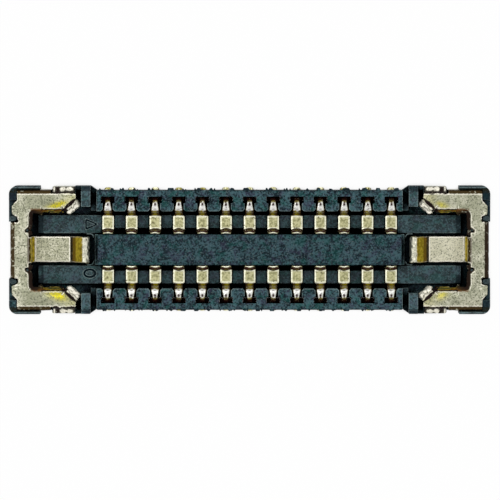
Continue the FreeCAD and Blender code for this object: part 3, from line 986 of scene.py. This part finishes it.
def guardTones(s, co, normal, bulge, side, outer):
    # how far each tone covers each vertex, from its place and from how it is bent
    inX, inY, past, run = guardPlaces(s, co, side, outer)
    level = co[:, 2]
    width = np.abs(co[:, 1])
    rear = co[:, 1] > 0
    armIn, inner, tongue, legStart = s["armIn"], s["innerEdge"], s["tongueHalf"], s["leg"][0]
    jag, sway = (waves(co[:, :2], size, seed) * high for size, seed, high in (s["jag"], s["sway"]))
    arms = inY + jag * 0.5 + sway * (inX > legStart)
    facing = smoothRise(normal[:, 2], -0.1, 0.3)
    onTop = level > outer[2] - 0.045
    nearTop = smoothRise(level, outer[2] - 0.14, outer[2] - 0.05)
    onTongue = (width < tongue + 0.01) * (inX > s["root"][0])
    onLeg = band(inX + jag, *s["leg"], 0.006) * (arms < armIn - 0.016) * facing
    lugSide = (inY < 0.42) * (level > 0.30)
    onLatch = band(inX + jag, *s["latch"], 0.004) * (inY > 0.29) * (inY < inner + 0.07)
    onPad = band(inX, *s["pad"], 0.003) * onTongue * facing

    # painted shade in dark gaps: a lens along the lug's chamfer, the lug's end and back, and lines beside
    # the arm
    lens = np.clip(1 - ((run - 0.5) / s["lugLens"]) ** 2, 0, 1)
    gap = most(
        smoothRise(s["lugGap"] * lens - np.abs(past - 0.003) + jag * 0.5, 0, 0.007) * lugSide,
        smoothRise(run + jag * 3, 0.84, 0.90) * band(past, 0, 0.055) * lugSide,
        band(past, -0.10, 0) * (inY > 0.325) * (inX > 0.76) * (level > 0.30),
        strip(arms, armIn, s["armGap"]) * (inX > legStart),
        strip(arms, inner, s["latchGap"]) * onLatch,
    )

    # the rolled leg shows a strip and two bright blobs of painted highlight, with painted shade round them
    blobs = np.zeros(len(co))
    for cx, cy, reachX, reachY in s["legBlobs"]:
        inside = 1.2 - ((inX - cx) / reachX) ** 2 - ((inY - cy) / reachY) ** 2 + jag * 50
        blobs = np.maximum(blobs, smoothRise(inside, 0, 0.5))

    # white, painted highlights: bright rims on convex edges, the lug's top with its crease, the leg's
    # blobs, the pad and the tongue's tip
    rims = smoothRise(bulge, *s["rimBulge"]) * facing * (arms > armIn - 0.004) * (inX > 0.068)
    rims *= 0.85 - 0.55 * smoothRise(inX, *s["rimFade"])
    place, reach, depth = s["lugCrease"]
    lugTop = band(past, *s["lugTop"]) * lugSide * facing
    (start, stop), slopeEnd = s["pad"], s["slope"][1]
    sides, outerEnd, innerEnd = s["padRims"]
    padEdge = most(
        smoothRise(width, *(tongue - far for far in sides)),
        1 - smoothRise(inX, *(start + far for far in outerEnd)),
        smoothRise(inX, *(stop - far for far in innerEnd)),
    )
    white = most(
        rims,
        strip(arms, armIn, s["armLine"]) * onTop,
        lugTop * (1 - np.exp(-((past - place) / reach) ** 2) * depth),
        onLeg * blobs * 0.74,
        onPad * padEdge,
        onPad * s["padBright"],
        onTongue * smoothRise(inX + jag, slopeEnd - 0.005, slopeEnd + 0.005) * 0.32,
        strip(arms, inner, s["latchLine"]) * onLatch,
    )

    # gold, a painted reflection, and a darker orange gold, a painted shade: the tongue's bends and sides,
    # and the rolled latch flange with its hem
    roll = onLatch * smoothRise(arms, *(inner + far for far in s["roll"]))
    hem = band(inX + jag, *s["hem"]) * strip(arms, inner, s["hemLine"])
    ridge = band(inX + jag, s["ridge"][0], np.where(rear, *s["ridge"][1:]), 0.010)
    ridge *= strip(arms, inner, s["ridgeLine"])
    sideGold = smoothRise(width, tongue - 0.004, tongue + 0.002) * 0.8
    gold = onTongue * most(band(inX, *s["goldLine"]), band(inX, *s["slope"], 0.004), sideGold)
    gold = np.maximum(gold, roll)
    rust = most(
        roll * (1 - smoothRise(arms, *(inner + far for far in s["rollEnd"]))),
        onTongue * band(inX + jag * 0.5, s["slope"][0], s["glint"][0] - 0.010, 0.010) * 0.7,
        hem,
    )

    # brown, a painted shade: flanges, the strip beside the leg, the tongue's bends and every steep side
    endFace = (1 - smoothRise(inX + jag * 0.5, 0.062, 0.068)) * (width < 0.43) * nearTop
    slope = band(inX, *s["slope"]) * (1 - band(inX, *s["glint"], 0.02))
    steep = 1 - smoothRise(normal[:, 2], 0.15, 0.6)
    brown = most(
        band(inX, *s["flange"], 0.004) * (arms < armIn - 0.002) * nearTop * 1.1,
        endFace * s["endBrown"],
        band(inX + jag, *s["legShadeStrip"], 0.004) * (arms < armIn) * nearTop * 1.5,
        onTongue * most(band(inX + jag, *s["root"]), band(inX, *s["foot"], 0.003) * 0.9, slope * 0.35),
        steep * (inX > 0.23) * (inY > 0.30) * (bulge < 0.08) * (past < 0.02) * 0.7,
    )
    # a painted shade in near black: the dark gaps, the leg round its blobs and the end face
    grime = most(gap * 1.5, onLeg * (1 - blobs) * 0.9, endFace * s["endShade"])

    # yellow is a painted reflection: the glow on the arm's top turns a little with the arm
    far, deep = s["glowAt"]
    long, *short = s["glowReach"]
    off = inY - deep + (inX - far) * s["glowTurn"]
    glow = np.exp(-((inX - far) / (long * s["glowShare"])) ** 2 - (off / np.where(rear, *short)) ** 2)
    yellow = most(
        glow * onTop * 1.3 * s["glowShare"],
        ridge,
        smoothRise(inX, 0.70, 0.90) * onTop * (inY < inner) * 0.22,
        onPad * s["padYellow"],
    )
    dull = smoothRise(inX, *s["dullFrom"]) * (1 - smoothRise(inX, *s["dullTo"])) * (inY < inner) * onTop
    return {
        "white": np.clip(white * (1 - gap) * (1 - hem), 0, 1),
        "gold": np.clip(gold * (1 - ridge), 0, 1),
        "brown": brown,
        "rust": rust * (1 - ridge),
        "grime": np.clip(grime, 0, 1),
        "yellow": np.clip(yellow, 0, 1),
        "grainy": onPad * (1 - padEdge) * s["padGrain"],
        "dull": dull * s["dullShare"],
    }


def makeGuard(s, node, side):
    low, high = boxOf(node)
    outer = np.array([max(low[0] * side, high[0] * side), high[1], high[2]])
    mesh = takeMesh(workCopy(node, s["merge"], False), node)
    mesh = applied(mesh, "REMESH", {"mode": "VOXEL", "voxel_size": s["voxel"], "use_smooth_shade": True})
    co = readVerts(mesh)
    edges = np.zeros(len(mesh.edges) * 2, int)
    mesh.edges.foreach_get("vertices", edges)
    edges = edges.reshape(-1, 2)
    inX, inY, past, run = guardPlaces(s, co, side, outer)
    width = np.abs(co[:, 1])
    upper = co[:, 2] > s["upperLevel"]
    # the lug, the leg's shoulder, the tongue's tip and the notched ears are softer than the plate
    lug = smoothRise(past, 0.0, 0.030) * (inY < 0.40) * (co[:, 2] > 0.33)
    (tip, tipHalf), (ears, earReach) = s["tip"], s["ears"]
    soft = most(
        lug,
        (inY < s["armIn"]) * smoothRise(inX, s["leg"][0] - 0.02, s["leg"][0]) * upper,
        smoothRise(inX, *tip) * (width < tipHalf),
        band(width, *ears, 0.02) * smoothRise(earReach - inX, 0, 0.03) * upper,
    )
    for turn in range(s["lugTurns"]):
        share = s["pull"]
        if turn >= s["plateTurns"]:
            share = share * (soft if turn < s["softTurns"] else lug)[:, None]
        co = co * (1 - share) + neighbourMean(co, edges) * share
    writeCoords(mesh, co)
    normal = readVerts(mesh, "normal")
    # stamped edges wander a little, soft places are lumpy, and the lug is as thick as before
    size, seed, lump = s["lumps"]
    wander = waves(co, *s["wander"]) * s["wave"] * (1 - np.abs(normal[:, 2]))
    wander += waves(co, size, seed) * lump * soft
    lip = band(inX, *s["lipSpan"], 0.03) * (inY > 0.29) * (width > s["tongueHalf"] + 0.03) * upper
    lip *= smoothRise(outer[2] - co[:, 2], *s["lipDepth"]) * smoothRise(1 - np.abs(normal[:, 2]), 0.2, 0.7)
    inward = np.where(inX < 0.30, normal[:, 0] * -side, 1)
    lip *= smoothRise(inward, 0, 0.3)
    co = np.clip(co + normal * (wander + s["lugSwell"] * lug + s["lipLean"] * lip)[:, None], low, high)
    # how convex each vertex is, from its distance to the mean round it
    around = neighbourMean(neighbourMean(co, edges), edges)
    bulge = ((co - around) * normal).sum(axis=1) / s["voxel"]
    tones = guardTones(s, co, normal, bulge, side, outer)
    # painted shade on the lip under the plate's edge, in brown and near black, less towards the end face,
    # with its painted highlight taken off
    onLip = smoothRise(lip, 0.02, 0.2)
    tones["brown"] = np.maximum(tones["brown"], onLip * 1.1)
    tones["grime"] = np.maximum(tones["grime"], onLip * (1 - smoothRise(inX, 0.34, 0.46) * 0.7) * 0.8)
    tones["white"] *= 1 - onLip
    for name, values in tones.items():
        setAttribute(mesh, name, values)
    writeCoords(mesh, co * mm)
    addPiece(f"{node}_plated", mesh, [guardMetal], "guard", node)


# the right guard has a weaker painted glow, less dull arms, a less grainy pad with more painted highlight
# and yellow, and its end face darker with more painted shade
rightTones = {
    "glowShare": 0.6,
    "dullShare": 0.35,
    "padGrain": 0.2,
    "padBright": 0.30,
    "padYellow": 0.14,
    "endShade": 0.6,
    "root": (0.250, 0.304),
    "goldLine": (0.312, 0.334),
}
makeGuard({**guardSet, **rightTones}, "guard_right", 1)
makeGuard(guardSet, "guard_left", -1)

print("housing")

housingSet = {
    "merge": 0.0055,
    "bevel": 0.0066,
    "sharpDegrees": 25,
    "railTop": 0.19,
    "blockTop": 0.52,
    # the moulding's highest level, just below the guards' plates
    "ceiling": 0.575,
    # each stud: plan place, half sizes, rise over the block's top and level of its foot
    "outerStud": ((3.492, 0.468), (0.056, 0.047), 0.054, 0.50),
    "innerStud": ((3.292, 0.303), (0.036, 0.048), 0.045, 0.44),
    # the marks on the left rails: plan place and radii, thickness and sink of the ridge and its lips
    "triangleMark": ((-2.373, 0.372), (0.084, 0.062)),
    "ringMark": ((-2.373, -0.356), (0.082, 0.056)),
    "markBead": (0.020, 0.007),
    "markSink": (0.014, 0.004),
    # how far the triangle's circle is dented, and its share of the radii
    "dent": 0.28,
    "triangleShare": 0.9,
    # the tongue pockets' corner beads: plan place, radius and thickness, their sink and straight run
    "pocketCorner": ((2.312, 0.228), 0.055, 0.011),
    "cornerSink": 0.004,
    "cornerRun": 1.9,
    # the flash: least and greatest radius, the front's share, size, seed and height of its waves
    "flash": (0.002, 0.034),
    "frontFlash": 0.6,
    "flashWaves": ((0.22, 20, 0.8), (0.06, 30, 0.35)),
    "flashGain": (2.4, 0.2),
    "wallSpan": 2.25,
    "wallEdge": (0.886, 0.484),
    # the edges in the legs' rooms and round the middle island get no painted highlight, up to these places
    "legRooms": (0.660, 0.840),
    "island": 0.250,
}


def dome(place, half, low, top, sides=28, levels=9, shoulder=0.35, closing=0.97, fullness=0.7):
    # rings that rise straight to the shoulder, then close over as a quarter ellipse to the top
    turn = np.linspace(0, 2 * math.pi, sides, endpoint=False)
    rise = np.concatenate([[0], np.linspace(0, math.pi / 2 * closing, levels)])
    height = shoulder + (1 - shoulder) * np.sin(rise[1:])
    level = np.concatenate([[low], low + (top - low) * height])
    reach = np.cos(rise)[:, None] ** fullness
    x = place[0] + half[0] * reach * np.cos(turn)
    y = place[1] + half[1] * reach * np.sin(turn)
    return np.stack([x, y, np.broadcast_to(level[:, None], x.shape)], -1)


def bead(path, radius, around=False, sides=10):
    # a ring of the given radius, square to the plan path, at each of its points
    step = np.roll(path, -1, axis=0) - np.roll(path, 1, axis=0)
    if not around:
        step[0] = path[1] - path[0]
        step[-1] = path[-1] - path[-2]
    step /= np.linalg.norm(step, axis=1)[:, None]
    out = np.stack([step[:, 1], -step[:, 0], np.zeros(len(path))], -1)
    turn = np.linspace(0, 2 * math.pi, sides, endpoint=False)
    radius = np.broadcast_to(radius, len(path))[:, None, None]
    up = np.array([0, 0, 1])
    return path[:, None] + radius * (np.cos(turn)[:, None] * out[:, None] + np.sin(turn)[:, None] * up)


def markForms(s, steps=60):
    # a rounded triangle, drawn by a circle with a smaller one riding on it, and a ring
    turn = np.linspace(0, 2 * math.pi, steps, endpoint=False)
    wide, thin = s["markBead"]
    deep, shallow = s["markSink"]
    dent = np.stack([np.cos(2 * turn), -np.sin(2 * turn)], -1) * s["dent"]
    circle = np.stack([np.cos(turn), np.sin(turn)], -1)
    for plan, mark in (((circle + dent) * s["triangleShare"], "triangleMark"), (circle, "ringMark")):
        place, radius = s[mark]
        # a dark ridge of painted shade between two thin pale lips with the painted edge highlight
        for reach in (0, wide, -wide):
            thick, sink, finish = (thin, shallow, 1) if reach else (wide, deep, 2)
            outline = plan * (np.array(radius) + reach) + place
            path = np.column_stack([outline, np.full(steps, s["railTop"] - sink)])
            yield bead(path, thick, True), True, finish


def flashForms(s, steps=700):
    # a ragged line of moulding flash along the outer edge of each wall
    x = np.linspace(-s["wallSpan"], s["wallSpan"], steps)
    small, large = s["flash"]
    gain, floor = s["flashGain"]
    row, level = s["wallEdge"]
    for side in (-1, 1):
        rough = sum(waves(x[:, None], size, seed + side) * high for size, seed, high in s["flashWaves"])
        path = np.column_stack([x, np.full(steps, side * row), np.full(steps, level)])
        swell = np.clip(rough * gain - floor, 0, 1) * (1 if side > 0 else s["frontFlash"])
        yield bead(path, small + (large - small) * swell, False, 8), False, 0


def housingExtras(s):
    # the rings of each small moulded form, whether its path is closed, and its material
    for sx in (-1, 1):
        for sy in (-1, 1):
            for stud in ("outerStud", "innerStud"):
                place, half, height, low = s[stud]
                yield dome(np.array(place) * [sx, sy], half, low, s["blockTop"] + height), False, 1
            (x, y), radius, thick = s["pocketCorner"]
            turn = np.linspace(0, math.pi / 2, 9)
            plan = np.stack([x + radius - radius * np.cos(turn), y - radius + radius * np.sin(turn)], -1)
            plan = np.vstack([plan, [[x + radius * s["cornerRun"], y]]])
            path = np.column_stack([plan, np.full(len(plan), s["railTop"] - s["cornerSink"])]) * [sx, sy, 1]
            yield bead(path, thick), False, 1
    yield from markForms(s)
    yield from flashForms(s)


def makeHousing(s):
    bm = workCopy("housing", s["merge"], True)
    sharp = [e for e in bm.edges if e.calc_face_angle(0) > math.radians(s["sharpDegrees"])]
    # the bevelled edges take the second material, which paints a highlight on them
    bmesh.ops.bevel(
        bm, geom=sharp, offset=s["bevel"], offset_type="OFFSET", segments=2, profile=0.5,
        affect="EDGES", clamp_overlap=True, material=1,
    )
    near, far = s["legRooms"]
    for face in bm.faces:
        face.smooth = True
        x, y, z = face.calc_center_median()
        if abs(x) < s["wallSpan"] and (near < abs(y) < far or abs(y) < s["island"]):
            face.material_index = 0
    for rings, around, finish in housingExtras(s):
        extra = tubeMesh("extra", rings, around)
        extra.polygons.foreach_set("material_index", np.full(len(extra.polygons), finish))
        bm.from_mesh(extra)
        bpy.data.meshes.remove(extra)
    mesh = takeMesh(bm, "housing")
    mesh = applied(mesh, "WEIGHTED_NORMAL", {"mode": "FACE_AREA", "weight": 100})
    low, high = boxOf("housing")
    high[2] = s["ceiling"]
    writeCoords(mesh, np.clip(readVerts(mesh), low, high) * mm)
    addPiece("housing_moulding", mesh, [plastic, plasticEdge, plasticDark], "housing", "housing")


makeHousing(housingSet)

bpy.context.scene.view_settings.view_transform = "Standard"
